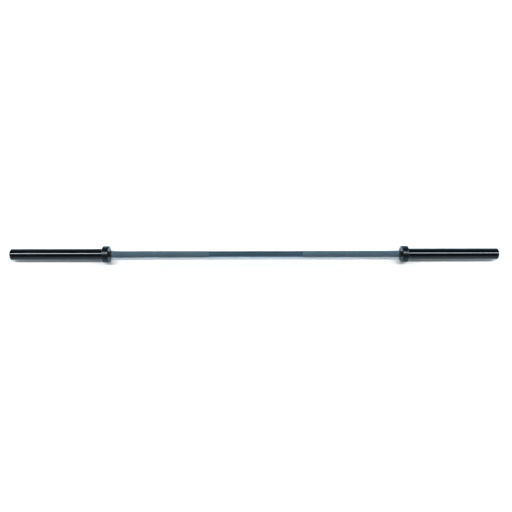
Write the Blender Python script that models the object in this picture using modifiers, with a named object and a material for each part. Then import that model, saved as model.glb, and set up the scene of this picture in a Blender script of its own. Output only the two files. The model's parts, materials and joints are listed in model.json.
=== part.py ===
"""A barbell whose two sleeves spin on bronze bushings.

Everything is in metres. The bar's axis is X, its middle is the origin and +Z is up.
Each end of the bar has an empty on the axis, in the plane of its collar's inner face, with the
empty's +Z pointing along the bar to the nearer end. The pieces at that end are modelled in the
empty's frame, so a height z below is a distance from the collar's inner face.
"""

import math

import bmesh
import bpy

# Overall sizes
BAR_LENGTH = 2.184
RACK_SPAN = 1.310  # between the collars' inner faces
SHAFT_DIAMETER = 0.0285
SLEEVE_DIAMETER = 0.050
COLLAR_DIAMETER = 0.075
COLLAR_WIDTH = 0.028

# Knurling: two raised bands a side with smooth rings between them
KNURL_RISE = 0.00025
SMOOTH_MIDDLE = 0.420
KNURL_TO_COLLAR = 0.020
RING_MARK_SPANS = (0.810, 0.910)  # from the left ring mark to the right one
RING_MARK_WIDTH = 0.005

# Collar and sleeve, outside
COLLAR_CHAMFER = 0.0022
COLLAR_GROOVE_WIDTH = 0.0044
COLLAR_GROOVE_FLOOR = 0.0022  # width of its flat floor
COLLAR_GROOVE_DEPTH = 0.0011
COLLAR_FILLET = 0.0020
SLEEVE_END_CHAMFER = 0.0025
EDGE_BREAK = 0.0006

# Shaft ends
SHOULDER_STEP = 0.0015  # from the shaft's surface down to its journal
SHOULDER_INSET = 0.0008  # how far the shoulder stands inside the collar
TIP_LENGTH = 0.0045  # shaft beyond its retaining ring
TIP_CHAMFER = 0.0012
SHAFT_GROOVE_DEPTH = 0.0009
CENTRE_HOLE_RADIUS = 0.0025
CENTRE_HOLE_DEPTH = 0.0035

# Bushings
BUSHING_WALL = 0.0020
BUSHING_LENGTH = 0.030
FLANGE_THICKNESS = 0.003
FLANGE_LIP = 0.0036

# Washers
WASHER_THICKNESS = 0.0015
WASHER_MARGIN = 0.0006  # how far a washer's rim stays inside the flange's
WAVE_STOCK = 0.0007
WAVE_HEIGHT = 0.0022
WAVE_COUNT = 3

# Retaining rings
SHAFT_RING_THICKNESS = 0.0015
SHAFT_RING_BEAM = 0.0032  # radial width opposite the gap
CAP_RING_THICKNESS = 0.00175
CAP_RING_BEAM = 0.0030
CAP_RING_GROOVE_DEPTH = 0.00125
CAP_RING_SETBACK = 0.0032  # from the sleeve's end to the ring's groove
RING_TAPER = 0.60  # radial width beside the gap, as a share of the width opposite it
RING_GAP_ANGLE = math.radians(34)
EAR_ANGLE = math.radians(17)
EAR_REACH = 1.5  # an ear's radial width, as a share of the ring's width opposite the gap
EAR_HOLE_RADIUS = 0.0011

# End caps
CAP_THICKNESS = 0.003
CAP_LEDGE = 0.0013  # radial width of the step that the cap rests on
CAP_SKIRT = 0.004
CAP_WALL = 0.0022
CAP_DISH_DEPTH = 0.0007
CAP_DISH_MARGIN = 0.0050
CAP_ROOM = 0.0040  # between the shaft's tip and the cap's skirt

# Clearances
SEAT_GAP = 0.0003  # between faces that touch
RUNNING_GAP = 0.0003  # between faces that turn on each other

# Facets
SLEEVE_STEPS = 40
SHAFT_STEPS = 40
SMALL_STEPS = 32
WAVE_STEPS = 36
RING_ARC_STEPS = 22
EAR_ARC_STEPS = 3
HOLE_STEPS = 10
FILLET_STEPS = 4
MERGE_DISTANCE = 0.00001
SHARP_ANGLE = math.radians(28)  # edges that turn by more than this stay crisp

# Radii that follow from the sizes above
SHAFT_RADIUS = SHAFT_DIAMETER / 2
SLEEVE_RADIUS = SLEEVE_DIAMETER / 2
COLLAR_RADIUS = COLLAR_DIAMETER / 2
JOURNAL_RADIUS = SHAFT_RADIUS - SHOULDER_STEP
BUSHING_BORE = JOURNAL_RADIUS + RUNNING_GAP
BUSHING_RADIUS = BUSHING_BORE + BUSHING_WALL
FLANGE_RADIUS = BUSHING_RADIUS + FLANGE_LIP
WASHER_RADIUS = FLANGE_RADIUS - WASHER_MARGIN
SLEEVE_BORE = BUSHING_RADIUS + SEAT_GAP
POCKET_RADIUS = FLANGE_RADIUS + SEAT_GAP
CAP_POCKET_RADIUS = POCKET_RADIUS + CAP_LEDGE
CAP_GROOVE_RADIUS = CAP_POCKET_RADIUS + CAP_RING_GROOVE_DEPTH
SHAFT_GROOVE_RADIUS = JOURNAL_RADIUS - SHAFT_GROOVE_DEPTH

# Heights at the collar, counted from its inner face
INNER_WASHER_LOW = SHOULDER_INSET + SEAT_GAP
INNER_WASHER_HIGH = INNER_WASHER_LOW + WASHER_THICKNESS
INNER_FLANGE_LOW = INNER_WASHER_HIGH + SEAT_GAP
INNER_FLANGE_HIGH = INNER_FLANGE_LOW + FLANGE_THICKNESS
INNER_POCKET_FLOOR = INNER_FLANGE_HIGH + SEAT_GAP

# Heights at the outer end, counted the same way and worked out from the sleeve's end inwards
SLEEVE_END = (BAR_LENGTH - RACK_SPAN) / 2
CAP_GROOVE_HIGH = SLEEVE_END - CAP_RING_SETBACK
CAP_RING_HIGH = CAP_GROOVE_HIGH - SEAT_GAP
CAP_RING_LOW = CAP_RING_HIGH - CAP_RING_THICKNESS
CAP_GROOVE_LOW = CAP_RING_LOW - SEAT_GAP
CAP_HIGH = CAP_RING_LOW - SEAT_GAP
CAP_LEDGE_HIGH = CAP_HIGH - CAP_THICKNESS - SEAT_GAP
CAP_SKIRT_LOW = CAP_HIGH - CAP_THICKNESS - CAP_SKIRT
SHAFT_TIP = CAP_SKIRT_LOW - CAP_ROOM
SHAFT_GROOVE_HIGH = SHAFT_TIP - TIP_LENGTH
SHAFT_RING_HIGH = SHAFT_GROOVE_HIGH - SEAT_GAP
SHAFT_RING_LOW = SHAFT_RING_HIGH - SHAFT_RING_THICKNESS
SHAFT_GROOVE_LOW = SHAFT_RING_LOW - SEAT_GAP
BACKING_WASHER_HIGH = SHAFT_RING_LOW - SEAT_GAP
BACKING_WASHER_LOW = BACKING_WASHER_HIGH - WASHER_THICKNESS
WAVE_HIGH = BACKING_WASHER_LOW - SEAT_GAP
WAVE_LOW = WAVE_HIGH - WAVE_HEIGHT
OUTER_WASHER_HIGH = WAVE_LOW - SEAT_GAP
OUTER_WASHER_LOW = OUTER_WASHER_HIGH - WASHER_THICKNESS
OUTER_FLANGE_HIGH = OUTER_WASHER_LOW - SEAT_GAP
OUTER_FLANGE_LOW = OUTER_FLANGE_HIGH - FLANGE_THICKNESS
OUTER_POCKET_FLOOR = OUTER_FLANGE_LOW - SEAT_GAP

# Material: base colour, metallic, roughness
FINISHES = {
    "shaft_coat": ((0.080, 0.136, 0.165), 0.9, 0.42),
    "sleeve_coat": ((0.012, 0.014, 0.018), 0.4, 0.20),
    "bronze": ((0.46, 0.29, 0.12), 1.0, 0.35),
    "washer_steel": ((0.42, 0.42, 0.41), 1.0, 0.32),
    "spring_steel": ((0.055, 0.057, 0.062), 0.9, 0.38),
    "cap_plastic": ((0.018, 0.018, 0.019), 0.0, 0.45),
}


def clear_scene():
    for old in list(bpy.data.objects):
        bpy.data.objects.remove(old, do_unlink=True)


def new_collection(name):
    collection = bpy.data.collections.new(name)
    bpy.context.scene.collection.children.link(collection)
    return collection


def make_materials():
    made = {}
    for name, (colour, metallic, roughness) in FINISHES.items():
        material = bpy.data.materials.new(name)
        material.use_nodes = True
        shader = material.node_tree.nodes["Principled BSDF"]
        shader.inputs["Base Color"].default_value = (*colour, 1.0)
        shader.inputs["Metallic"].default_value = metallic
        shader.inputs["Roughness"].default_value = roughness
        made[name] = material
    return made


def make_end_frame(name, side):
    """An empty on the bar's axis at a collar's inner face. side is 1 at +X and -1 at -X."""
    empty = bpy.data.objects.new(name, None)
    empty.location = (side * RACK_SPAN / 2, 0, 0)
    empty.rotation_euler = (0, side * math.pi / 2, 0)
    empty.empty_display_size = COLLAR_RADIUS
    parts.objects.link(empty)
    return empty


def finish_part(part, material, parent=None):
    """Shades, paints and places a part."""
    part.data.materials.append(materials[material])
    part.data.shade_smooth()
    part.data.set_sharp_from_angle(angle=SHARP_ANGLE)
    part.parent = parent
    return part


def turned(name, outline, steps, material, parent=None, closed=True):
    """A piece turned about its local Z. outline is (z, radius) pairs: down the outside, from the
    highest z to the lowest, and for a closed one back up the bore. Half a step of turn puts a flat
    of the facets at the bottom, where a corner would be."""
    mesh = bpy.data.meshes.new(name)
    count = len(outline)
    edges = [(i, i + 1) for i in range(count - 1)]
    if closed:
        edges.append((count - 1, 0))
    half_step = math.pi / steps
    points = [(r * math.cos(half_step), r * math.sin(half_step), z) for z, r in outline]
    mesh.from_pydata(points, edges, [])
    part = bpy.data.objects.new(name, mesh)
    parts.objects.link(part)
    screw = part.modifiers.new("turn", "SCREW")
    screw.axis = "Z"
    screw.steps = steps
    screw.render_steps = steps
    screw.use_merge_vertices = True
    screw.merge_threshold = MERGE_DISTANCE
    return make_real(part, material, parent)


def make_real(part, material, parent):
    """Replaces a part's modifiers or curve by the mesh that they make."""
    bpy.context.view_layer.update()
    graph = bpy.context.evaluated_depsgraph_get()
    mesh = bpy.data.meshes.new_from_object(part.evaluated_get(graph))
    name = part.name
    bpy.data.objects.remove(part, do_unlink=True)
    work = bmesh.new()
    work.from_mesh(mesh)
    bmesh.ops.remove_doubles(work, verts=work.verts, dist=MERGE_DISTANCE)
    bmesh.ops.recalc_face_normals(work, faces=work.faces)
    work.to_mesh(mesh)
    work.free()
    real = bpy.data.objects.new(name, mesh)
    parts.objects.link(real)
    return finish_part(real, material, parent)


def ring_outline(low, high, inner, outer):
    """A flat ring's section."""
    return [(high, outer), (low, outer), (low, inner), (high, inner)]


def raised_bands():
    """The knurled bands on the bar's right half as (start, end) distances from the middle."""
    stops = [SMOOTH_MIDDLE / 2]
    for span in sorted(RING_MARK_SPANS):
        stops += [(span - RING_MARK_WIDTH) / 2, (span + RING_MARK_WIDTH) / 2]
    stops.append(RACK_SPAN / 2 - KNURL_TO_COLLAR)
    return list(zip(stops[0::2], stops[1::2]))


def half_shaft_outline():
    """(x, radius) from the tip at the right end in to the middle."""
    collar = RACK_SPAN / 2
    tip = collar + SHAFT_TIP
    outline = [
        (tip - CENTRE_HOLE_DEPTH, 0.0),
        (tip, CENTRE_HOLE_RADIUS),
        (tip, JOURNAL_RADIUS - TIP_CHAMFER),
        (tip - TIP_CHAMFER, JOURNAL_RADIUS),
        (collar + SHAFT_GROOVE_HIGH, JOURNAL_RADIUS),
        (collar + SHAFT_GROOVE_HIGH, SHAFT_GROOVE_RADIUS),
        (collar + SHAFT_GROOVE_LOW, SHAFT_GROOVE_RADIUS),
        (collar + SHAFT_GROOVE_LOW, JOURNAL_RADIUS),
        (collar + SHOULDER_INSET, JOURNAL_RADIUS),
        (collar + SHOULDER_INSET, SHAFT_RADIUS - EDGE_BREAK),
        (collar + SHOULDER_INSET - EDGE_BREAK, SHAFT_RADIUS),
    ]
    crest = SHAFT_RADIUS + KNURL_RISE
    for start, end in reversed(raised_bands()):
        outline += [
            (end, SHAFT_RADIUS),
            (end - KNURL_RISE, crest),
            (start + KNURL_RISE, crest),
            (start, SHAFT_RADIUS),
        ]
    return outline


def make_shaft():
    right = half_shaft_outline()
    left = [(-x, radius) for x, radius in reversed(right)]
    shaft = turned("shaft", right + left, SHAFT_STEPS, "shaft_coat", closed=False)
    shaft.rotation_euler = (0, math.pi / 2, 0)
    return shaft


def collar_groove():
    """The groove round the middle of the collar's rim, from outboard to inboard."""
    middle = COLLAR_WIDTH / 2
    half_mouth = COLLAR_GROOVE_WIDTH / 2
    half_floor = COLLAR_GROOVE_FLOOR / 2
    floor = COLLAR_RADIUS - COLLAR_GROOVE_DEPTH
    return [
        (middle + half_mouth, COLLAR_RADIUS),
        (middle + half_floor, floor),
        (middle - half_floor, floor),
        (middle - half_mouth, COLLAR_RADIUS),
    ]


def collar_fillet():
    """The hollow curve between the sleeve's outside and the collar's outer face."""
    points = []
    for i in range(FILLET_STEPS + 1):
        angle = math.pi / 2 * i / FILLET_STEPS
        z = COLLAR_WIDTH + COLLAR_FILLET * (1 - math.sin(angle))
        radius = SLEEVE_RADIUS + COLLAR_FILLET * (1 - math.cos(angle))
        points.append((z, radius))
    return points


def sleeve_outline():
    outside = [
        (SLEEVE_END, SLEEVE_RADIUS - SLEEVE_END_CHAMFER),
        (SLEEVE_END - SLEEVE_END_CHAMFER, SLEEVE_RADIUS),
        *collar_fillet(),
        (COLLAR_WIDTH, COLLAR_RADIUS - COLLAR_CHAMFER),
        (COLLAR_WIDTH - COLLAR_CHAMFER, COLLAR_RADIUS),
        *collar_groove(),
        (COLLAR_CHAMFER, COLLAR_RADIUS),
        (0.0, COLLAR_RADIUS - COLLAR_CHAMFER),
    ]
    inside = [
        (0.0, POCKET_RADIUS + EDGE_BREAK),
        (EDGE_BREAK, POCKET_RADIUS),
        (INNER_POCKET_FLOOR, POCKET_RADIUS),
        (INNER_POCKET_FLOOR, SLEEVE_BORE),
        (OUTER_POCKET_FLOOR, SLEEVE_BORE),
        (OUTER_POCKET_FLOOR, POCKET_RADIUS),
        (CAP_LEDGE_HIGH, POCKET_RADIUS),
        (CAP_LEDGE_HIGH, CAP_POCKET_RADIUS),
        (CAP_GROOVE_LOW, CAP_POCKET_RADIUS),
        (CAP_GROOVE_LOW, CAP_GROOVE_RADIUS),
        (CAP_GROOVE_HIGH, CAP_GROOVE_RADIUS),
        (CAP_GROOVE_HIGH, CAP_POCKET_RADIUS),
        (SLEEVE_END - EDGE_BREAK, CAP_POCKET_RADIUS),
        (SLEEVE_END, CAP_POCKET_RADIUS + EDGE_BREAK),
    ]
    return outside + inside


def inner_bushing_outline():
    """Its flange faces the middle of the bar."""
    tube_end = INNER_POCKET_FLOOR + BUSHING_LENGTH
    return [
        (tube_end, BUSHING_RADIUS - EDGE_BREAK),
        (tube_end - EDGE_BREAK, BUSHING_RADIUS),
        (INNER_FLANGE_HIGH, BUSHING_RADIUS),
        (INNER_FLANGE_HIGH, FLANGE_RADIUS),
        (INNER_FLANGE_LOW, FLANGE_RADIUS),
        (INNER_FLANGE_LOW, BUSHING_BORE),
        (tube_end, BUSHING_BORE),
    ]


def outer_bushing_outline():
    """Its flange faces the end of the bar."""
    tube_end = OUTER_POCKET_FLOOR - BUSHING_LENGTH
    return [
        (OUTER_FLANGE_HIGH, FLANGE_RADIUS),
        (OUTER_FLANGE_LOW, FLANGE_RADIUS),
        (OUTER_FLANGE_LOW, BUSHING_RADIUS),
        (tube_end + EDGE_BREAK, BUSHING_RADIUS),
        (tube_end, BUSHING_RADIUS - EDGE_BREAK),
        (tube_end, BUSHING_BORE),
        (OUTER_FLANGE_HIGH, BUSHING_BORE),
    ]


def end_cap_outline():
    """A shallow cup that plugs the sleeve, with a dish in its outer face."""
    rim = CAP_POCKET_RADIUS - SEAT_GAP
    skirt = POCKET_RADIUS - SEAT_GAP
    inner_face = CAP_HIGH - CAP_THICKNESS
    dish = rim - CAP_DISH_MARGIN
    return [
        (CAP_HIGH - CAP_DISH_DEPTH, 0.0),
        (CAP_HIGH - CAP_DISH_DEPTH, dish - CAP_DISH_DEPTH),
        (CAP_HIGH, dish),
        (CAP_HIGH, rim),
        (inner_face, rim),
        (inner_face, skirt),
        (CAP_SKIRT_LOW, skirt),
        (CAP_SKIRT_LOW, skirt - CAP_WALL),
        (inner_face, skirt - CAP_WALL),
        (inner_face, 0.0),
    ]


def bend_into_waves(washer):
    """Moves a flat ring's points along the axis so that it rises and falls WAVE_COUNT times."""
    swing = (WAVE_HEIGHT - WAVE_STOCK) / 2
    for vertex in washer.data.vertices:
        angle = math.atan2(vertex.co.y, vertex.co.x)
        vertex.co.z += swing * math.cos(WAVE_COUNT * angle)


def make_wave_washer(name, parent):
    middle = (WAVE_LOW + WAVE_HIGH) / 2
    half = WAVE_STOCK / 2
    inner = JOURNAL_RADIUS + SEAT_GAP
    outline = ring_outline(middle - half, middle + half, inner, WASHER_RADIUS)
    washer = turned(name, outline, WAVE_STEPS, "spring_steel", parent)
    bend_into_waves(washer)
    return washer


def arc(radius_at, start, end, steps):
    """Points from the angle start to end, where radius_at gives the radius at an angle."""
    points = []
    for i in range(steps + 1):
        angle = start + (end - start) * i / steps
        radius = radius_at(angle)
        points.append((radius * math.cos(angle), radius * math.sin(angle)))
    return points


def ring_body(rooted, beam, outward):
    """The outline of an open retaining ring with an ear beside each side of its gap.

    rooted is the radius of the edge that sits in the groove, and the other edge lies a beam's
    width away, outward or inward. The beam is widest opposite the gap, which is at angle 0."""
    first = RING_GAP_ANGLE / 2
    ears = first + EAR_ANGLE
    sign = 1 if outward else -1

    def seat_edge(angle):
        return rooted

    def free_edge(angle):
        narrow = (1 + math.cos(angle)) / 2
        return rooted + sign * beam * (1 - (1 - RING_TAPER) * narrow)

    def ear_edge(angle):
        return rooted + sign * beam * EAR_REACH

    last = 2 * math.pi - first
    body = arc(seat_edge, first, last, RING_ARC_STEPS)
    body += arc(ear_edge, last, last - EAR_ANGLE, EAR_ARC_STEPS)
    body += arc(free_edge, 2 * math.pi - ears, ears, RING_ARC_STEPS)
    body += arc(ear_edge, ears, first, EAR_ARC_STEPS)
    return body


def ear_hole(rooted, beam, outward, upper):
    """The plier hole in one ear, as a small circle."""
    sign = 1 if outward else -1
    reach = rooted + sign * beam * EAR_REACH / 2
    angle = (RING_GAP_ANGLE + EAR_ANGLE) / 2
    if not upper:
        angle = -angle
    x = reach * math.cos(angle)
    y = reach * math.sin(angle)
    circle = arc(lambda angle: EAR_HOLE_RADIUS, 0, 2 * math.pi, HOLE_STEPS)
    return [(x + dx, y + dy) for dx, dy in circle[:-1]]


def add_spline(curve, points):
    spline = curve.splines.new("POLY")
    spline.points.add(len(points) - 1)
    for target, (x, y) in zip(spline.points, points):
        target.co = (x, y, 0, 1)
    spline.use_cyclic_u = True


def make_retaining_ring(name, rooted, beam, outward, low, high, parent):
    curve = bpy.data.curves.new(name, "CURVE")
    curve.dimensions = "2D"
    curve.fill_mode = "BOTH"
    curve.extrude = (high - low) / 2
    add_spline(curve, ring_body(rooted, beam, outward))
    for upper in (True, False):
        add_spline(curve, ear_hole(rooted, beam, outward, upper))
    ring = bpy.data.objects.new(name, curve)
    parts.objects.link(ring)
    ring = make_real(ring, "spring_steel", parent)
    ring.location = (0, 0, (low + high) / 2)
    return ring


def make_end(label, side):
    """All the pieces at one end of the bar."""
    frame = make_end_frame(f"{label}_sleeve_axis", side)
    journal_fit = JOURNAL_RADIUS + SEAT_GAP

    def washer(name, low, high):
        outline = ring_outline(low, high, journal_fit, WASHER_RADIUS)
        turned(f"{label}_{name}", outline, SMALL_STEPS, "washer_steel", frame)

    turned(f"{label}_sleeve", sleeve_outline(), SLEEVE_STEPS, "sleeve_coat", frame)
    turned(f"{label}_inner_bushing", inner_bushing_outline(), SMALL_STEPS, "bronze", frame)
    turned(f"{label}_outer_bushing", outer_bushing_outline(), SMALL_STEPS, "bronze", frame)
    washer("inner_thrust_washer", INNER_WASHER_LOW, INNER_WASHER_HIGH)
    washer("outer_thrust_washer", OUTER_WASHER_LOW, OUTER_WASHER_HIGH)
    make_wave_washer(f"{label}_wave_washer", frame)
    washer("backing_washer", BACKING_WASHER_LOW, BACKING_WASHER_HIGH)
    make_retaining_ring(
        f"{label}_shaft_retaining_ring",
        SHAFT_GROOVE_RADIUS + SEAT_GAP,
        SHAFT_RING_BEAM,
        True,
        SHAFT_RING_LOW,
        SHAFT_RING_HIGH,
        frame,
    )
    turned(
        f"{label}_end_cap", end_cap_outline(), SMALL_STEPS, "cap_plastic", frame, closed=False
    )
    make_retaining_ring(
        f"{label}_cap_retaining_ring",
        CAP_GROOVE_RADIUS - SEAT_GAP,
        CAP_RING_BEAM,
        False,
        CAP_RING_LOW,
        CAP_RING_HIGH,
        frame,
    )


clear_scene()
parts = new_collection("barbell")
materials = make_materials()
make_shaft()
make_end("right", 1)
make_end("left", -1)
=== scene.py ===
"""The looks of the barbell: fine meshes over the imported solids, finishes, floor, light and camera.

Everything is in metres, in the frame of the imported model: the bar's axis is X, its middle is the
origin and +Z is up. At each end of the bar a height z is a distance from the inner face of that
end's collar, counted towards the nearer end of the bar, as in the source of the solids.
"""

import json
import math

import bmesh
import bpy
import numpy as np
from mathutils import Matrix, Vector


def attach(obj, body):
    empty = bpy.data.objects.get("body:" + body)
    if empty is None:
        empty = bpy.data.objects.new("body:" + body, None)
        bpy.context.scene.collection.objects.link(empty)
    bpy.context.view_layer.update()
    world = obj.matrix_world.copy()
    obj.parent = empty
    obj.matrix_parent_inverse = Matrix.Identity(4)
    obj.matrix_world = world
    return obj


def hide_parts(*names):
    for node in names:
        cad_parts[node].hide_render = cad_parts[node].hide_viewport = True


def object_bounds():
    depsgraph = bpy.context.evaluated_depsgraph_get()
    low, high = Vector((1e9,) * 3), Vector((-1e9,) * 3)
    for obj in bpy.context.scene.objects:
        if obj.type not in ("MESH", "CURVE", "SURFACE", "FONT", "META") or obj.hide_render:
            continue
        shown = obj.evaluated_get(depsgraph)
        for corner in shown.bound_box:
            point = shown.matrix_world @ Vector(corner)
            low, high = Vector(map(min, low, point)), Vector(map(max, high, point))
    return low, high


MM = 0.001

# Sizes of the solids, repeated from their source
BAR_LENGTH = 2184 * MM
RACK_SPAN = 1310 * MM  # between the collars' inner faces
SHAFT_RADIUS = 14.25 * MM
SLEEVE_RADIUS = 25 * MM
SEAT_GAP = 0.3 * MM  # between faces that touch
EDGE_BREAK = 0.6 * MM

# The shaft's surface between the collars, alike on both halves
SMOOTH_MIDDLE = 420 * MM
KNURL_RISE = 0.25 * MM
KNURL_TO_COLLAR = 20 * MM
RING_MARK_SPANS = (810 * MM, 910 * MM)  # from the left ring mark to the right one
RING_MARK_WIDTH = 5 * MM
KNURL_BANDS = (
    (SMOOTH_MIDDLE / 2, (RING_MARK_SPANS[0] - RING_MARK_WIDTH) / 2),
    ((RING_MARK_SPANS[0] + RING_MARK_WIDTH) / 2, (RING_MARK_SPANS[1] - RING_MARK_WIDTH) / 2),
    ((RING_MARK_SPANS[1] + RING_MARK_WIDTH) / 2, RACK_SPAN / 2 - KNURL_TO_COLLAR),
)
COLLAR_SHADE_LENGTH = 12 * MM  # painted shade: length of the shaft beside each collar that is painted dark

# Collar and sleeve
COLLAR_RADIUS = 37.5 * MM
COLLAR_WIDTH = 28 * MM
COLLAR_CHAMFER = 2.2 * MM
COLLAR_GROOVE_WIDTH = 4.4 * MM
COLLAR_GROOVE_FLOOR = 2.2 * MM  # width of its flat floor
COLLAR_GROOVE_DEPTH = 1.1 * MM
COLLAR_FILLET = 2.0 * MM
SLEEVE_END_CHAMFER = 2.5 * MM
SLEEVE_BORE = 15.35 * MM
POCKET_RADIUS = 18.95 * MM
CAP_POCKET_RADIUS = 20.25 * MM
CAP_GROOVE_RADIUS = 21.5 * MM
INNER_POCKET_FLOOR = 6.2 * MM

# The shaft's ends
JOURNAL_RADIUS = 12.75 * MM
SHOULDER_INSET = 0.8 * MM  # how far the shoulder stands inside the collar
SHAFT_GROOVE_RADIUS = 11.85 * MM
SHAFT_GROOVE_WIDTH = 2.1 * MM
TIP_LENGTH = 4.5 * MM  # shaft beyond that groove
TIP_CHAMFER = 1.2 * MM
CENTRE_HOLE_RADIUS = 2.5 * MM
CENTRE_HOLE_DEPTH = 3.5 * MM
CENTRE_HOLE_EASING = 0.4 * MM  # depth of its sloping mouth, and its reach to each side of the radius
OUTER_STACK = 9.4 * MM  # flange, washers and gaps from the outer pocket's floor to the shaft's groove

# End cap and its retaining ring
CAP_THICKNESS = 3 * MM
CAP_SKIRT = 4 * MM
CAP_WALL = 2.2 * MM
CAP_ROOM = 4 * MM  # between the shaft's tip and the cap's skirt
CAP_DISH_DEPTH = 0.7 * MM
CAP_DISH_MARGIN = 4.8 * MM  # flat rim round the dish
CAP_DISH_SLOPE = 0.8 * MM  # width of its sloping side
GATE_RADIUS = 1.1 * MM  # of the moulding's gate mark, at its floor
GATE_SLOPE = 0.4 * MM  # width of its sloping side
GATE_DEPTH = 0.25 * MM
CAP_RING_SETBACK = 3.2 * MM  # from the sleeve's end to the ring's groove
CAP_RING_THICKNESS = 1.75 * MM
CAP_RING_BEAM = 3 * MM  # radial width opposite the gap
RING_TAPER = 0.6  # radial width beside the gap, as a share of the width opposite it
RING_GAP_ANGLE = math.radians(34)
EAR_ANGLE = math.radians(17)
EAR_REACH = 1.5  # an ear's radial width, as a share of the ring's width opposite the gap
EAR_CORNER = 0.06  # how far an ear's corners draw back, as a share of its radial width
EAR_HOLE_RADIUS = 1.1 * MM

# Heights that follow from them
SLEEVE_END = (BAR_LENGTH - RACK_SPAN) / 2
CAP_GROOVE_HIGH = SLEEVE_END - CAP_RING_SETBACK
CAP_RING_HIGH = CAP_GROOVE_HIGH - SEAT_GAP
CAP_RING_LOW = CAP_RING_HIGH - CAP_RING_THICKNESS
CAP_GROOVE_LOW = CAP_RING_LOW - SEAT_GAP
CAP_HIGH = CAP_RING_LOW - SEAT_GAP
CAP_INNER_FACE = CAP_HIGH - CAP_THICKNESS
CAP_LEDGE_HIGH = CAP_INNER_FACE - SEAT_GAP
CAP_SKIRT_LOW = CAP_INNER_FACE - CAP_SKIRT
SHAFT_TIP = CAP_SKIRT_LOW - CAP_ROOM
SHAFT_GROOVE_HIGH = SHAFT_TIP - TIP_LENGTH
SHAFT_GROOVE_LOW = SHAFT_GROOVE_HIGH - SHAFT_GROOVE_WIDTH
OUTER_POCKET_FLOOR = SHAFT_GROOVE_LOW - OUTER_STACK

# Rounding radii of edges
SLEEVE_END_EDGES = (0.35 * MM, 0.9 * MM)  # the chamfer's inner and outer edge
COLLAR_EDGE = 0.8 * MM
COLLAR_GROOVE_LIP = 0.25 * MM
COLLAR_GROOVE_ROOT = 0.4 * MM
BORE_EDGE = 0.2 * MM
RING_GROOVE_EDGE = 0.1 * MM
CENTRE_HOLE_EDGE = 0.2 * MM
TIP_EDGE = 0.3 * MM
SHOULDER_EDGES = (0.15 * MM, 0.3 * MM)  # the chamfer's inner and outer edge
KNURL_SEAT_EDGE = 0.08 * MM
CAP_EDGE = 0.3 * MM
CAP_BACK_EDGE = 0.2 * MM
CAP_WALL_EDGE = 0.4 * MM
CAP_DISH_ROOT = 0.5 * MM
GATE_EDGE = 0.1 * MM
CAP_RING_EDGE = 0.12 * MM

# Knurling
KNURLS_AROUND = 48
COLUMNS = 2 * KNURLS_AROUND
KNURL_STEP = 1.2 * MM  # half a diamond's length along the bar
KNURL_FLAT = 0.46  # flat top of a diamond, as a share of its half width
KNURL_DEPTH = 0.38 * MM
KNURL_SEAT = 13.6 * MM  # radius under the knurled skin
KNURL_FIT = 0.02 * MM  # between the skin and its seat

# Mesh fineness
SHAFT_SEGMENTS = 96
SLEEVE_SEGMENTS = 160
CAP_SEGMENTS = 96
ARC_STEPS = 5
RING_OUTER_STEPS = 96
RING_INNER_STEPS = 80
RING_EDGE_STEPS = 2
EAR_STEPS = 12
HOLE_STEPS = 24
LONGEST_SPAN = 24 * MM
HOLD = 0.25 * MM  # how far a rounding's shading may reach into the straight run beside it
ON_AXIS = 0.0001 * MM  # a point nearer to the axis than this lies on it
WELD_DISTANCE = 0.001 * MM
SMOOTH_ANGLE = math.radians(30)

SIDES = {"left": -1, "right": 1}

# Colours of the finishes. Where there are two, the surface wanders between them.
SLEEVE_BLACK = ((0.0235, 0.027, 0.031), (0.029, 0.033, 0.038))
SLEEVE_RUBBED = (0.09, 0.10, 0.11)
SLEEVE_EDGE_TINT = (0.78, 0.95, 1.0, 1.0)  # of its gloss at grazing angles
SHAFT_SATIN = ((0.053, 0.104, 0.143), (0.065, 0.122, 0.164))
SHAFT_MATT = ((0.041, 0.075, 0.098), (0.049, 0.086, 0.111))
SHAFT_WORN = (0.080, 0.129, 0.163)
# painted shade: the darker colour deep in the knurl's cuts
SHAFT_CUT_SHADE = (0.009, 0.018, 0.024)
# painted shade: the dark band on the shaft beside each collar
SHAFT_COLLAR_SHADE = ((0.007, 0.009, 0.009), (0.013, 0.015, 0.014))
BRONZE_METAL = ((0.52, 0.32, 0.13), (0.36, 0.21, 0.08))
BRONZE_PORE = (0.14, 0.085, 0.04)
WASHER_GREY = ((0.36, 0.36, 0.35), (0.48, 0.475, 0.46))
SPRING_OXIDE = ((0.040, 0.042, 0.048), (0.085, 0.078, 0.070))
CAP_BLACK = ((0.014, 0.014, 0.015), (0.024, 0.024, 0.025))

# Camera, at the photograph's viewing angle
CAMERA_DISTANCE = 2.45
CAMERA_ELEVATION = math.radians(66)
CAMERA_AZIMUTH = math.radians(-2.13)
CAMERA_ROLL = math.radians(1.85)
FOCAL_PIXELS = 544.9
AIM_PIXELS = (-0.13, -1.85)  # where the bar's middle lies from the picture's, right and down
PICTURE_PIXELS = 512
SENSOR_MM = 36

# Lamps
LAMP_HEIGHT = 1.75
LAMP_WIDTH = 0.24
LAMP_SPAN = (0.62, 2.3)  # each long lamp's reach along the bar, from the middle
LAMP_FRONT = math.radians(5)  # how far they lean from overhead to the camera's side
LAMP_RADIANCE = 32.5
PANEL_HEIGHT = 2.0
PANEL_SIZE = (1.9, 2.2)
PANEL_RADIANCE = 0.5
FILL_REACH = 0.8  # how far behind the bar and how high above it the fill lamp stands
FILL_SIZE = (1.5, 0.4)
FILL_RADIANCE = 2.3  # before the beam is narrowed
FILL_SPREAD = math.radians(90)
FILL_COLOUR = (0.88, 1.0, 1.12)

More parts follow.
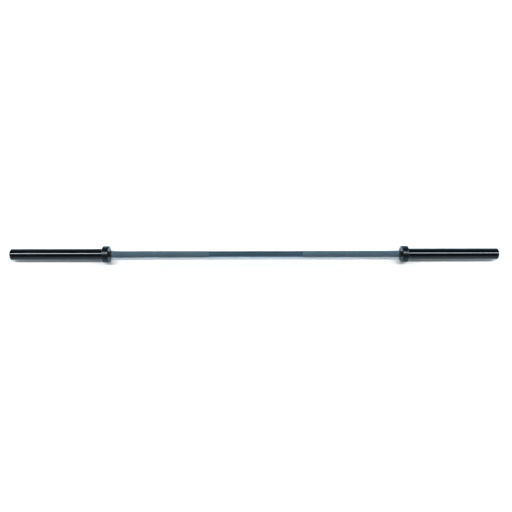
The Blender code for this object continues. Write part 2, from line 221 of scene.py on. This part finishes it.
# Floor and sky
FLOOR_COLOUR = (0.69, 0.71, 0.73)
FLOOR_REACH = 40.0
FLOOR_GLOW = 0.04  # the light that the floor gives off near the bar, where 1 is full white
GLOW_SPAN = (0.25, 1.6)  # distances from the bar between which that grows to full white
GLOW_LENGTHWISE = 0.2  # how much the square of a distance along the bar counts for that
SKY_STOPS = (  # a direction's height, from 0 at the horizon to 1 overhead, its brightness and blueness
    (0.0, 1.0, 0.0),
    (0.06, 1.0, 0.0),
    (0.22, 0.48, 0.08),
    (0.42, 0.30, 0.08),
    (0.72, 0.15, 0.08),
    (1.0, 0.12, 0.08),
)


def unit(vector):
    """A vector's direction, at length 1."""
    return vector / np.linalg.norm(vector)


def round_corners(corners, closed):
    """An outline from (z, radius) or (z, radius, rounding) corners, with arcs where rounding is given."""
    points = []
    count = len(corners)
    for i, corner in enumerate(corners):
        here = np.array(corner[:2], float)
        rounding = corner[2] if len(corner) > 2 else 0.0
        if rounding == 0.0 or (not closed and i in (0, count - 1)):
            points.append(here)
            continue
        back = unit(np.array(corners[i - 1][:2]) - here)
        on = unit(np.array(corners[(i + 1) % count][:2]) - here)
        half = math.acos(np.clip(back @ on, -1, 1)) / 2
        centre = here + unit(back + on) * rounding / math.sin(half)
        first = here + back * rounding / math.tan(half) - centre
        last = here + on * rounding / math.tan(half) - centre
        turn = math.pi - 2 * half
        for k in range(ARC_STEPS + 1):
            share = k / ARC_STEPS
            spoke = math.sin((1 - share) * turn) * first + math.sin(share * turn) * last
            points.append(centre + spoke / math.sin(turn))
    return points


def split_runs(points, closed):
    """Adds points near both ends of an outline's straight runs, and along those over LONGEST_SPAN."""
    made = []
    count = len(points)
    for i, here in enumerate(points):
        made.append(here)
        if i == count - 1 and not closed:
            break
        run = points[(i + 1) % count] - here
        length = np.linalg.norm(run)
        if length < 4 * HOLD:
            continue
        pieces = math.ceil(abs(run[0]) / LONGEST_SPAN)
        shares = [HOLD / length, 1 - HOLD / length] + [k / pieces for k in range(1, pieces)]
        made += [here + run * share for share in sorted(shares)]
    return made


def built_mesh(name, points, faces):
    """A mesh from its points and the numbers of each face's points."""
    mesh = bpy.data.meshes.new(name)
    mesh.from_pydata(points, [], faces)
    return mesh


def link_mesh(name, mesh, smooth=True, weld=0.0):
    """The piece that shows a mesh, with its faces pointing out and, if smooth, only sharp edges crisp."""
    work = bmesh.new()
    work.from_mesh(mesh)
    if weld > 0.0:
        bmesh.ops.remove_doubles(work, verts=work.verts, dist=weld)
    bmesh.ops.recalc_face_normals(work, faces=work.faces)
    work.to_mesh(mesh)
    work.free()
    if smooth:
        mesh.shade_smooth()
        mesh.set_sharp_from_angle(angle=SMOOTH_ANGLE)
    piece = bpy.data.objects.new(name, mesh)
    bpy.context.scene.collection.objects.link(piece)
    return piece


def turned(name, corners, segments, closed=True, side=1, origin=RACK_SPAN / 2):
    """A piece turned about the bar, with z counted from origin towards that side's end.

    An open outline starts and ends on the axis."""
    outline = split_runs(round_corners(corners, closed), closed)
    count = len(outline)
    points, first = [], []
    angles = [2 * math.pi * (k + 0.5) / segments for k in range(segments)]
    for z, radius in outline:
        first.append(len(points))
        x = side * (origin + z)
        if radius < ON_AXIS:
            points.append((x, 0.0, 0.0))
        else:
            points += [(x, radius * math.sin(a), radius * math.cos(a)) for a in angles]
    faces = []
    for i in range(count if closed else count - 1):
        j = (i + 1) % count
        low, high = first[i], first[j]
        for k in range(segments):
            n = (k + 1) % segments
            if outline[i][1] < ON_AXIS:
                faces.append((low, high + n, high + k))
            elif outline[j][1] < ON_AXIS:
                faces.append((low + k, low + n, high))
            else:
                faces.append((low + k, low + n, high + n, high + k))
    return link_mesh(name, built_mesh(name, points, faces))


def knurl_points(start, end, rows, side, base):
    """The outer points of one knurled band and their numbers by (kind, row, column).

    They lie on a lattice of half steps. Where row + column is odd a diamond has its flat top, with a
    corner to each side, and where it is even four diamonds meet in the bottom of two cuts."""
    points, number = [], {}
    crest = SHAFT_RADIUS + KNURL_RISE
    pit = crest - KNURL_DEPTH

    def add(kind, row, column, along, around, radius):
        number[kind, row, column] = base + len(points)
        angle = 2 * math.pi * (column + around) / COLUMNS
        x = start + (end - start) * (row + along) / rows
        points.append((side * x, radius * math.sin(angle), radius * math.cos(angle)))

    for row in range(rows + 1):
        rim = SHAFT_RADIUS if row in (0, rows) else crest
        for column in range(COLUMNS):
            if (row + column) % 2 == 0:
                add("pit", row, column, 0, 0, pit)
                continue
            add("south", row, column, 0, -KNURL_FLAT, rim)
            add("north", row, column, 0, KNURL_FLAT, rim)
            if row > 0:
                add("west", row, column, -KNURL_FLAT, 0, crest)
            if row < rows:
                add("east", row, column, KNURL_FLAT, 0, crest)
    return points, number


def knurl_faces(rows, number):
    """Each diamond's flat top and its sloping sides."""
    faces = []
    for row in range(rows + 1):
        for column in range(COLUMNS):
            if (row + column) % 2 == 0:
                continue
            below = number["pit", row, (column - 1) % COLUMNS]
            above = number["pit", row, (column + 1) % COLUMNS]
            south, north = number["south", row, column], number["north", row, column]
            west = number.get(("west", row, column))
            east = number.get(("east", row, column))
            faces.append([v for v in (west, south, east, north) if v is not None])
            if row < rows:
                beyond = number["pit", row + 1, column]
                faces += [(south, below, beyond, east), (east, beyond, above, north)]
            if row > 0:
                beyond = number["pit", row - 1, column]
                faces += [(north, above, beyond, west), (west, beyond, below, south)]
    return faces


def band_edge(row, number):
    """The point numbers round one end of a knurled band."""
    loop = []
    for column in range(COLUMNS):
        kinds = ("pit",) if (row + column) % 2 == 0 else ("south", "north")
        loop += [number[kind, row, column] for kind in kinds]
    return loop


def knurling(name, side):
    """The three knurled bands of one half of the shaft, as closed rings in one mesh."""
    points, faces = [], []
    for start, end in KNURL_BANDS:
        base = len(points)
        rows = 2 * round((end - start) / (2 * KNURL_STEP))
        made, number = knurl_points(start + KNURL_FIT, end - KNURL_FIT, rows, side, base)
        points += made
        faces += knurl_faces(rows, number)
        loops = [band_edge(0, number)]
        for row in (0, rows):
            edge = band_edge(row, number)
            loops.append(range(len(points), len(points) + len(edge)))
            for v in edge:
                x, y, z = points[v]
                shrink = (KNURL_SEAT + KNURL_FIT) / math.hypot(y, z)
                points.append((x, y * shrink, z * shrink))
        loops.append(band_edge(rows, number))
        for low, high in zip(loops, loops[1:]):
            for k in range(len(low)):
                n = (k + 1) % len(low)
                faces.append((low[k], low[n], high[n], high[k]))
    return link_mesh(name, built_mesh(name, points, faces), smooth=False)


def half_shaft():
    """(x, radius, rounding) corners from the tip at the right end in to the middle."""
    collar = RACK_SPAN / 2
    tip = collar + SHAFT_TIP
    easing = CENTRE_HOLE_EASING
    corners = [
        (tip - CENTRE_HOLE_DEPTH, 0.0),
        (tip - easing, CENTRE_HOLE_RADIUS - easing),
        (tip, CENTRE_HOLE_RADIUS + easing, CENTRE_HOLE_EDGE),
        (tip, JOURNAL_RADIUS - TIP_CHAMFER, TIP_EDGE),
        (tip - TIP_CHAMFER, JOURNAL_RADIUS, TIP_EDGE),
        (collar + SHAFT_GROOVE_HIGH, JOURNAL_RADIUS, RING_GROOVE_EDGE),
        (collar + SHAFT_GROOVE_HIGH, SHAFT_GROOVE_RADIUS, RING_GROOVE_EDGE),
        (collar + SHAFT_GROOVE_LOW, SHAFT_GROOVE_RADIUS, RING_GROOVE_EDGE),
        (collar + SHAFT_GROOVE_LOW, JOURNAL_RADIUS, RING_GROOVE_EDGE),
        (collar + SHOULDER_INSET, JOURNAL_RADIUS),
        (collar + SHOULDER_INSET, SHAFT_RADIUS - EDGE_BREAK, SHOULDER_EDGES[0]),
        (collar + SHOULDER_INSET - EDGE_BREAK, SHAFT_RADIUS, SHOULDER_EDGES[1]),
    ]
    for start, end in reversed(KNURL_BANDS):
        corners += [
            (end, SHAFT_RADIUS, KNURL_SEAT_EDGE),
            (end, KNURL_SEAT),
            (start, KNURL_SEAT),
            (start, SHAFT_RADIUS, KNURL_SEAT_EDGE),
        ]
    return corners


def make_shaft():
    """The turned shaft, with seats that its two knurled skins fill, and the skins."""
    right = half_shaft()
    left = [(-x, *rest) for x, *rest in reversed(right)]
    core = turned("shaft_core", right + left, SHAFT_SEGMENTS, closed=False, origin=0)
    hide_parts("shaft")
    pieces = [core]
    for label, side in SIDES.items():
        pieces.append(knurling(f"shaft_knurling_{label}", side))
    for piece in pieces:
        finish(piece, "shaft_coat", "shaft_body")


def sleeve_corners():
    """The sleeve with its collar, bored and counterbored."""
    groove = COLLAR_WIDTH / 2
    half_mouth = COLLAR_GROOVE_WIDTH / 2
    half_floor = COLLAR_GROOVE_FLOOR / 2
    floor = COLLAR_RADIUS - COLLAR_GROOVE_DEPTH
    outside = [
        (SLEEVE_END, SLEEVE_RADIUS - SLEEVE_END_CHAMFER, SLEEVE_END_EDGES[0]),
        (SLEEVE_END - SLEEVE_END_CHAMFER, SLEEVE_RADIUS, SLEEVE_END_EDGES[1]),
        (COLLAR_WIDTH, SLEEVE_RADIUS, COLLAR_FILLET),
        (COLLAR_WIDTH, COLLAR_RADIUS - COLLAR_CHAMFER, COLLAR_EDGE),
        (COLLAR_WIDTH - COLLAR_CHAMFER, COLLAR_RADIUS, COLLAR_EDGE),
        (groove + half_mouth, COLLAR_RADIUS, COLLAR_GROOVE_LIP),
        (groove + half_floor, floor, COLLAR_GROOVE_ROOT),
        (groove - half_floor, floor, COLLAR_GROOVE_ROOT),
        (groove - half_mouth, COLLAR_RADIUS, COLLAR_GROOVE_LIP),
        (COLLAR_CHAMFER, COLLAR_RADIUS, COLLAR_EDGE),
        (0.0, COLLAR_RADIUS - COLLAR_CHAMFER, COLLAR_EDGE),
    ]
    inside = [
        (0.0, POCKET_RADIUS + EDGE_BREAK, BORE_EDGE),
        (EDGE_BREAK, POCKET_RADIUS, BORE_EDGE),
        (INNER_POCKET_FLOOR, POCKET_RADIUS),
        (INNER_POCKET_FLOOR, SLEEVE_BORE),
        (OUTER_POCKET_FLOOR, SLEEVE_BORE),
        (OUTER_POCKET_FLOOR, POCKET_RADIUS),
        (CAP_LEDGE_HIGH, POCKET_RADIUS),
        (CAP_LEDGE_HIGH, CAP_POCKET_RADIUS),
        (CAP_GROOVE_LOW, CAP_POCKET_RADIUS),
        (CAP_GROOVE_LOW, CAP_GROOVE_RADIUS),
        (CAP_GROOVE_HIGH, CAP_GROOVE_RADIUS),
        (CAP_GROOVE_HIGH, CAP_POCKET_RADIUS, RING_GROOVE_EDGE),
        (SLEEVE_END - EDGE_BREAK, CAP_POCKET_RADIUS, BORE_EDGE),
        (SLEEVE_END, CAP_POCKET_RADIUS + EDGE_BREAK, BORE_EDGE),
    ]
    return outside + inside


def cap_corners():
    """The moulded end cap: a shallow cup with a dished face and a gate mark."""
    rim = CAP_POCKET_RADIUS - SEAT_GAP
    skirt = POCKET_RADIUS - SEAT_GAP
    dish = CAP_HIGH - CAP_DISH_DEPTH
    dish_radius = rim - CAP_DISH_MARGIN
    return [
        (dish - GATE_DEPTH, 0.0),
        (dish - GATE_DEPTH, GATE_RADIUS, GATE_EDGE),
        (dish, GATE_RADIUS + GATE_SLOPE, GATE_EDGE),
        (dish, dish_radius - CAP_DISH_SLOPE, CAP_DISH_ROOT),
        (CAP_HIGH, dish_radius, CAP_EDGE),
        (CAP_HIGH, rim, CAP_EDGE),
        (CAP_INNER_FACE, rim, CAP_BACK_EDGE),
        (CAP_INNER_FACE, skirt),
        (CAP_SKIRT_LOW, skirt, CAP_WALL_EDGE),
        (CAP_SKIRT_LOW, skirt - CAP_WALL, CAP_WALL_EDGE),
        (CAP_INNER_FACE, skirt - CAP_WALL, CAP_WALL_EDGE),
        (CAP_INNER_FACE, 0.0),
    ]


def arc(radius_at, start, end, steps):
    """Points from the angle start to end, where radius_at gives the radius at an angle."""
    points = []
    for i in range(steps + 1):
        angle = start + (end - start) * i / steps
        radius = radius_at(angle)
        points.append((radius * math.cos(angle), radius * math.sin(angle)))
    return points


def cap_ring_outline():
    """The internal retaining ring's outline, widest opposite its gap, which is at angle 0."""
    rooted = CAP_GROOVE_RADIUS - SEAT_GAP
    half_ear = EAR_ANGLE / 2
    first = RING_GAP_ANGLE / 2
    ears = first + EAR_ANGLE
    last = 2 * math.pi - first

    def free_edge(angle):
        return rooted - CAP_RING_BEAM * (1 - (1 - RING_TAPER) * (1 + math.cos(angle)) / 2)

    def ear_edge(angle):
        middle = first + half_ear if angle < math.pi else last - half_ear
        drawn_back = EAR_CORNER * ((angle - middle) / half_ear) ** 4
        return rooted - CAP_RING_BEAM * EAR_REACH * (1 - drawn_back)

    body = arc(lambda angle: rooted, first, last, RING_OUTER_STEPS)
    body += arc(ear_edge, last, 2 * math.pi - ears, EAR_STEPS)
    body += arc(free_edge, 2 * math.pi - ears, ears, RING_INNER_STEPS)
    body += arc(ear_edge, ears, first, EAR_STEPS)
    return body


def ear_hole(turn):
    """The outline of the plier hole in an ear, whose middle is at the angle turn."""
    reach = CAP_GROOVE_RADIUS - SEAT_GAP - CAP_RING_BEAM * EAR_REACH / 2
    hole = arc(lambda angle: EAR_HOLE_RADIUS, 0, 2 * math.pi, HOLE_STEPS)[:-1]
    return [(reach * math.cos(turn) + u, reach * math.sin(turn) + v) for u, v in hole]


def make_cap_ring(label, side):
    """The retaining ring over the end cap, with rounded edges and plier holes."""
    name = f"{label}_cap_ring_fine"
    curve = bpy.data.curves.new(name, "CURVE")
    curve.dimensions = "2D"
    curve.fill_mode = "BOTH"
    curve.extrude = (CAP_RING_HIGH - CAP_RING_LOW) / 2 - CAP_RING_EDGE
    curve.bevel_depth = CAP_RING_EDGE
    curve.bevel_resolution = RING_EDGE_STEPS
    curve.offset = -CAP_RING_EDGE
    ear = (RING_GAP_ANGLE + EAR_ANGLE) / 2
    for outline in (cap_ring_outline(), ear_hole(ear), ear_hole(-ear)):
        spline = curve.splines.new("POLY")
        spline.points.add(len(outline) - 1)
        for point, (u, v) in zip(spline.points, outline):
            point.co = (u, v, 0, 1)
        spline.use_cyclic_u = True
    shape = bpy.data.objects.new(name, curve)
    bpy.context.scene.collection.objects.link(shape)
    bpy.context.view_layer.update()
    graph = bpy.context.evaluated_depsgraph_get()
    mesh = bpy.data.meshes.new_from_object(shape.evaluated_get(graph))
    bpy.data.objects.remove(shape, do_unlink=True)
    middle = side * (RACK_SPAN / 2 + (CAP_RING_LOW + CAP_RING_HIGH) / 2)
    mesh.transform(Matrix.Translation((middle, 0, 0)) @ Matrix.Rotation(side * math.pi / 2, 4, "Y"))
    return link_mesh(name, mesh, weld=WELD_DISTANCE)


def make_end(label, side):
    """The pieces at one end that show: the sleeve, its end cap and the cap's retaining ring."""
    body = f"{label}_sleeve_body"
    sleeve = turned(f"{label}_sleeve_fine", sleeve_corners(), SLEEVE_SEGMENTS, side=side)
    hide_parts(f"{label}_sleeve")
    finish(sleeve, "sleeve_coat", body)
    cap = turned(f"{label}_end_cap_fine", cap_corners(), CAP_SEGMENTS, closed=False, side=side)
    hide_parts(f"{label}_end_cap")
    finish(cap, "cap_plastic", body)
    ring = make_cap_ring(label, side)
    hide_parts(f"{label}_cap_retaining_ring")
    finish(ring, "spring_steel", body)


class Finish:
    """A material's nodes, made by short calls. Lengths are in metres, on the piece's own points."""

    def __init__(self, name):
        self.material = bpy.data.materials.new(name)
        self.material.use_nodes = True
        self.nodes = self.material.node_tree.nodes
        self.links = self.material.node_tree.links
        self.shader = self.nodes["Principled BSDF"]
        self.place = self.nodes.new("ShaderNodeTexCoord").outputs["Object"]

    def feed(self, socket, value):
        """Links a node's output to the socket, or sets the socket to a constant."""
        if isinstance(value, bpy.types.NodeSocket):
            self.links.new(value, socket)
        else:
            socket.default_value = value

    def math(self, operation, *values):
        """The result of one operation, such as ADD, on outputs or numbers."""
        node = self.nodes.new("ShaderNodeMath")
        node.operation = operation
        for socket, value in zip(node.inputs, values):
            self.feed(socket, value)
        return node.outputs[0]

    def add(self, value, *shares):
        """The value, with amount times share added for each (share, amount)."""
        for share, amount in shares:
            value = self.math("ADD", value, self.math("MULTIPLY", share, amount))
        return value

    def span(self, value, low, high, to_low=0.0, to_high=1.0):
        """Maps low..high to to_low..to_high, smoothly and held at both ends."""
        node = self.nodes.new("ShaderNodeMapRange")
        node.interpolation_type = "SMOOTHSTEP"
        for socket, number in zip(node.inputs, (value, low, high, to_low, to_high)):
            self.feed(socket, number)
        return node.outputs[0]

    def noise(self, size, stretch=(1, 1, 1), detail=3.0, rough=0.5):
        """Noise with lumps of about size, drawn out along an axis where stretch is over 1."""
        mapping = self.nodes.new("ShaderNodeMapping")
        mapping.inputs["Scale"].default_value = [1 / (size * s) for s in stretch]
        self.feed(mapping.inputs["Vector"], self.place)
        node = self.nodes.new("ShaderNodeTexNoise")
        node.inputs["Scale"].default_value = 1.0
        node.inputs["Detail"].default_value = detail
        node.inputs["Roughness"].default_value = rough
        self.feed(node.inputs["Vector"], mapping.outputs[0])
        return node.outputs["Fac"]

    def pits(self, size):
        """Distance to the nearest of scattered points about size apart, as a share of size."""
        node = self.nodes.new("ShaderNodeTexVoronoi")
        node.inputs["Scale"].default_value = 1 / size
        self.feed(node.inputs["Vector"], self.place)
        return node.outputs["Distance"]

    def part(self, axis):
        """A point's own X, Y or Z."""
        node = self.nodes.new("ShaderNodeSeparateXYZ")
        self.feed(node.inputs[0], self.place)
        return node.outputs[axis]

    def radius(self):
        """Distance from the bar's axis."""
        y, z = self.part("Y"), self.part("Z")
        squares = self.math("ADD", self.math("MULTIPLY", y, y), self.math("MULTIPLY", z, z))
        return self.math("SQRT", squares)

    def mix(self, share, first, second):
        """The first colour where share is 0 and the second where it is 1."""
        node = self.nodes.new("ShaderNodeMix")
        node.data_type = "RGBA"
        self.feed(node.inputs[0], share)
        for socket, colour in ((node.inputs[6], first), (node.inputs[7], second)):
            self.feed(socket, colour if isinstance(colour, bpy.types.NodeSocket) else (*colour, 1))
        return node.outputs[2]

    def bump(self, height, depth, under=None):
        """Relief of that depth where height goes from 0 to 1."""
        node = self.nodes.new("ShaderNodeBump")
        node.inputs["Strength"].default_value = 1.0
        node.inputs["Distance"].default_value = depth
        self.feed(node.inputs["Height"], height)
        if under is not None:
            self.feed(node.inputs["Normal"], under)
        return node.outputs[0]

    def shade(self, colour, roughness, metallic, normal, **constants):
        """Feeds the shader. The constants are its other sockets, with _ for a space in a name."""
        self.feed(self.shader.inputs["Base Color"], colour)
        self.feed(self.shader.inputs["Roughness"], roughness)
        self.feed(self.shader.inputs["Metallic"], metallic)
        self.feed(self.shader.inputs["Normal"], normal)
        for name, value in constants.items():
            self.shader.inputs[name.replace("_", " ")].default_value = value
        return self.material


def sleeve_coat():
    """Gloss black plating, less bright on the collar, with lathe lines and faint plate marks."""
    f = Finish("sleeve_coat")
    lathe = f.noise(0.35 * MM, (1, 60, 60), detail=2)
    cloud = f.noise(45 * MM, (3, 1, 1), detail=4)
    rubs = f.noise(0.9 * MM, (90, 1, 1), detail=3)
    radius = f.radius()
    on_barrel = f.span(radius, SLEEVE_RADIUS - 1.5 * MM, SLEEVE_RADIUS - 0.4 * MM)
    on_collar = f.span(radius, SLEEVE_RADIUS + 1.0 * MM, SLEEVE_RADIUS + 3.0 * MM)
    rubbed = f.math("MULTIPLY", f.span(rubs, 0.62, 0.78), f.span(cloud, 0.45, 0.7))
    rubbed = f.math("MULTIPLY", rubbed, on_barrel)
    colour = f.mix(f.math("MULTIPLY", rubbed, 0.5), f.mix(cloud, *SLEEVE_BLACK), SLEEVE_RUBBED)
    gloss = f.span(cloud, 0.25, 0.75, 0.06, 0.15)
    roughness = f.add(gloss, (rubbed, 0.16), (on_collar, 0.17), (lathe, 0.04))
    normal = f.bump(lathe, 0.0022 * MM)
    return f.shade(colour, roughness, 1.0, normal, Specular_Tint=SLEEVE_EDGE_TINT)


def shaft_coat():
    """Blue-grey coating: satin in the middle, softer on the ring marks, matt elsewhere, with painted shade
    in the knurl's cuts and beside the collars.
    """
    f = Finish("shaft_coat")
    lathe = f.noise(0.3 * MM, (1, 50, 50), detail=2)
    cloud = f.noise(30 * MM, (2.5, 1, 1), detail=4)
    grain = f.noise(0.5 * MM, detail=3)
    radius = f.radius()
    raised = f.span(radius, SHAFT_RADIUS - 0.06 * MM, SHAFT_RADIUS + KNURL_RISE)
    # painted shade: this mask is 1 deep in the knurl's cuts, where the colour below is darkened
    cut_shade = f.span(radius, SHAFT_RADIUS - 0.09 * MM, SHAFT_RADIUS - 0.01 * MM, 1.0, 0.0)
    along = f.math("ABSOLUTE", f.part("X"))
    outside = f.math("GREATER_THAN", along, SMOOTH_MIDDLE / 2)
    matt = 0.0
    for start, end in (*KNURL_BANDS[:-1], (KNURL_BANDS[-1][0], BAR_LENGTH / 2)):
        matt = f.math("ADD", matt, f.math("COMPARE", along, (start + end) / 2, (end - start) / 2))
    coat = f.mix(matt, f.mix(cloud, *SHAFT_SATIN), f.mix(cloud, *SHAFT_MATT))
    wear = f.math("MULTIPLY", raised, f.span(cloud, 0.3, 0.7, 0.45, 0.7))
    # painted shade darkens the colour in the knurl's cuts
    colour = f.mix(f.math("MULTIPLY", cut_shade, 0.7), f.mix(wear, coat, SHAFT_WORN), SHAFT_CUT_SHADE)
    satin = f.span(cloud, 0.25, 0.75, 0.13, 0.19)
    roughness = f.add(satin, (raised, 0.14), (grain, 0.03), (lathe, 0.03), (matt, 0.24), (outside, 0.12))
    # painted shade: a dark band on the shaft beside each collar
    edge = RACK_SPAN / 2 - COLLAR_SHADE_LENGTH
    collar_shade = f.span(along, edge - 0.2 * MM, edge + 0.2 * MM)
    colour = f.mix(collar_shade, colour, f.mix(cloud, *SHAFT_COLLAR_SHADE))
    normal = f.bump(grain, 0.005 * MM, f.bump(lathe, 0.003 * MM))
    metallic = f.math("MULTIPLY", f.math("SUBTRACT", 1.0, matt), 0.85)
    return f.shade(colour, roughness, metallic, normal, IOR=1.25)


def bronze():
    """Sintered bronze: fine pores, machining lines and oil."""
    f = Finish("bronze")
    pores = f.span(f.pits(0.5 * MM), 0.12, 0.3)
    oil = f.noise(9 * MM, detail=4)
    lathe = f.noise(0.25 * MM, (1, 40, 40), detail=2)
    colour = f.mix(pores, BRONZE_PORE, f.mix(oil, *BRONZE_METAL))
    roughness = f.span(oil, 0.3, 0.7, 0.42, 0.22)
    normal = f.bump(pores, 0.03 * MM, f.bump(lathe, 0.004 * MM))
    return f.shade(colour, roughness, 1.0, normal)


def washer_steel():
    """Ground steel with crossed grinding scratches."""
    f = Finish("washer_steel")
    one_way = f.noise(0.12 * MM, (1, 80, 1), detail=2)
    other_way = f.noise(0.15 * MM, (1, 1, 60), detail=2)
    cloud = f.noise(8 * MM, detail=3)
    scratches = f.math("MULTIPLY", f.math("ADD", one_way, other_way), 0.5)
    roughness = f.span(scratches, 0.35, 0.65, 0.24, 0.4)
    return f.shade(f.mix(cloud, *WASHER_GREY), roughness, 1.0, f.bump(scratches, 0.004 * MM))


def spring_steel():
    """Blackened and oiled spring steel, browner where the oxide is thin."""
    f = Finish("spring_steel")
    cloud = f.noise(4 * MM, detail=5)
    grain = f.noise(0.25 * MM, detail=3)
    colour = f.mix(f.span(cloud, 0.35, 0.65), *SPRING_OXIDE)
    roughness = f.span(grain, 0.3, 0.7, 0.30, 0.46)
    return f.shade(colour, roughness, 1.0, f.bump(grain, 0.008 * MM))


def cap_plastic():
    """Black moulded plastic with a spark-eroded texture and a little rub shine."""
    f = Finish("cap_plastic")
    spark = f.noise(0.28 * MM, detail=4, rough=0.6)
    cloud = f.noise(11 * MM, detail=3)
    roughness = f.span(cloud, 0.3, 0.7, 0.42, 0.56)
    return f.shade(f.mix(cloud, *CAP_BLACK), roughness, 0.0, f.bump(spark, 0.02 * MM), IOR=1.49)


def finish(piece, slot, body):
    """Gives a new piece the finish of a material slot, and the body that it moves with."""
    piece.data.materials.clear()
    piece.data.materials.append(FINISHES[slot])
    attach(piece, body)


def dress_solids():
    """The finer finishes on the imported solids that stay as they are."""
    slots = {part["node"]: part["material_slot"] for part in frame["record"]["subparts"]}
    for name, node in frame["nodes"].items():
        for place in node.material_slots:
            place.material = FINISHES[slots[name]]


def lit_by_eye(f):
    """1 on rays that come from the camera, or by way of a gloss or a clear piece, and else 0."""
    rays = f.nodes.new("ShaderNodeLightPath").outputs
    share = rays["Is Camera Ray"]
    for name in ("Is Glossy Ray", "Is Transmission Ray"):
        share = f.math("MAXIMUM", share, rays[name])
    return share


def floor_paper():
    """A pale, faintly blue paper that keeps the bar's shadow and glows white further off."""
    f = Finish("floor_paper")
    diffuse = f.nodes.new("ShaderNodeBsdfDiffuse")
    diffuse.inputs["Color"].default_value = (*FLOOR_COLOUR, 1)
    glow = f.nodes.new("ShaderNodeEmission")
    both = f.nodes.new("ShaderNodeAddShader")
    x, y = f.part("X"), f.part("Y")
    away = f.math("SQRT", f.add(f.math("MULTIPLY", y, y), (f.math("MULTIPLY", x, x), GLOW_LENGTHWISE)))
    strength = f.span(away, *GLOW_SPAN, FLOOR_GLOW, 1.0)
    f.feed(glow.inputs["Strength"], f.math("MULTIPLY", strength, lit_by_eye(f)))
    f.feed(both.inputs[0], diffuse.outputs[0])
    f.feed(both.inputs[1], glow.outputs[0])
    f.feed(f.nodes["Material Output"].inputs["Surface"], both.outputs[0])
    f.nodes.remove(f.shader)
    return f.material


def make_floor():
    """The floor that the collars stand on, far wider than any view."""
    reach = FLOOR_REACH
    corners = [(-reach, -reach, 0), (reach, -reach, 0), (reach, reach, 0), (-reach, reach, 0)]
    floor = bpy.data.objects.new("floor", built_mesh("floor", corners, [(0, 1, 2, 3)]))
    bpy.context.scene.collection.objects.link(floor)
    floor.location.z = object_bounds()[0].z
    floor.data.materials.append(floor_paper())


def make_world():
    """A dim studio, paler towards the horizon."""
    world = bpy.data.worlds.new("studio")
    bpy.context.scene.world = world
    world.use_nodes = True
    nodes, links = world.node_tree.nodes, world.node_tree.links
    split = nodes.new("ShaderNodeSeparateXYZ")
    links.new(nodes.new("ShaderNodeTexCoord").outputs["Generated"], split.inputs[0])
    ramp = nodes.new("ShaderNodeValToRGB")
    elements = ramp.color_ramp.elements
    while len(elements) < len(SKY_STOPS):
        elements.new(0.5)
    for element, (height, bright, blue) in zip(elements, SKY_STOPS):
        element.position = height
        element.color = (bright * (1 - blue), bright, bright * (1 + blue), 1)
    links.new(split.outputs["Z"], ramp.inputs[0])
    links.new(ramp.outputs[0], nodes["Background"].inputs["Color"])


def make_lamp(name, place, aim, size, radiance, in_gloss, spread=math.pi, colour=(1, 1, 1)):
    """A rectangular soft lamp facing aim. size is (along X, across)."""
    data = bpy.data.lights.new(name, "AREA")
    data.shape = "RECTANGLE"
    data.size, data.size_y = size
    data.energy = radiance * math.pi * size[0] * size[1]
    data.spread = spread
    data.color = colour
    lamp = bpy.data.objects.new(name, data)
    bpy.context.scene.collection.objects.link(lamp)
    back = (Vector(place) - Vector(aim)).normalized()
    across = back.cross(Vector((1, 0, 0))).normalized()
    along = across.cross(back)
    lamp.matrix_world = Matrix.Translation(place) @ Matrix((along, across, back)).transposed().to_4x4()
    lamp.visible_camera = False
    lamp.visible_glossy = in_gloss


def make_lamps():
    """Two long lamps over the bar's halves, a broad dim panel over all, and a fill from behind."""
    near, far = LAMP_SPAN
    middle = (near + far) / 2
    y = -LAMP_HEIGHT * math.sin(LAMP_FRONT)
    z = LAMP_HEIGHT * math.cos(LAMP_FRONT)
    for label, side in SIDES.items():
        x = side * middle
        make_lamp(f"{label}_long_lamp", (x, y, z), (x, 0, 0), (far - near, LAMP_WIDTH), LAMP_RADIANCE, True)
    make_lamp("ceiling_panel", (0, 0, PANEL_HEIGHT), (0, 0, 0), PANEL_SIZE, PANEL_RADIANCE, True)
    place = (0, FILL_REACH, FILL_REACH)
    make_lamp("fill_lamp", place, (0, 0, 0), FILL_SIZE, FILL_RADIANCE, False, FILL_SPREAD, FILL_COLOUR)


def make_camera():
    """The camera, aimed and rolled so that the bar lies in the picture as it does in the photograph."""
    data = bpy.data.cameras.new("camera")
    data.sensor_width = SENSOR_MM
    data.lens = FOCAL_PIXELS * SENSOR_MM / PICTURE_PIXELS
    camera = bpy.data.objects.new("camera", data)
    bpy.context.scene.collection.objects.link(camera)
    level = math.cos(CAMERA_ELEVATION)
    right = Vector((math.cos(CAMERA_AZIMUTH), math.sin(CAMERA_AZIMUTH), 0))
    back = Vector((right.y * level, -right.x * level, math.sin(CAMERA_ELEVATION)))
    up = back.cross(right)
    turn = (math.cos(CAMERA_ROLL), math.sin(CAMERA_ROLL))
    right, up = right * turn[0] + up * turn[1], up * turn[0] - right * turn[1]
    metres = CAMERA_DISTANCE / FOCAL_PIXELS
    target = up * (AIM_PIXELS[1] * metres) - right * (AIM_PIXELS[0] * metres)
    axes = Matrix((right, up, back)).transposed().to_4x4()
    camera.matrix_world = Matrix.Translation(target + back * CAMERA_DISTANCE) @ axes
    bpy.context.scene.camera = camera


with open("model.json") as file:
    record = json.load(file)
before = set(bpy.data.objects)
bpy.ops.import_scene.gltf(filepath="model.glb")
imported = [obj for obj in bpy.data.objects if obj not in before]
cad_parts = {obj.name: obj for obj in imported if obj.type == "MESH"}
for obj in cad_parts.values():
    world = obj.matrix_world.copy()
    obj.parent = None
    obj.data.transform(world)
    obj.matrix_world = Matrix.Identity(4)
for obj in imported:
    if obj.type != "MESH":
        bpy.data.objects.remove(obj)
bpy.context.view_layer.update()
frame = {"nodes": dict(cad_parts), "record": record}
FINISHES = {
    made.__name__: made()
    for made in (sleeve_coat, shaft_coat, bronze, washer_steel, spring_steel, cap_plastic)
}
make_shaft()
for label, side in SIDES.items():
    make_end(label, side)
dress_solids()
make_floor()
make_world()
make_lamps()
make_camera()
bpy.context.scene.view_settings.view_transform = "Standard"
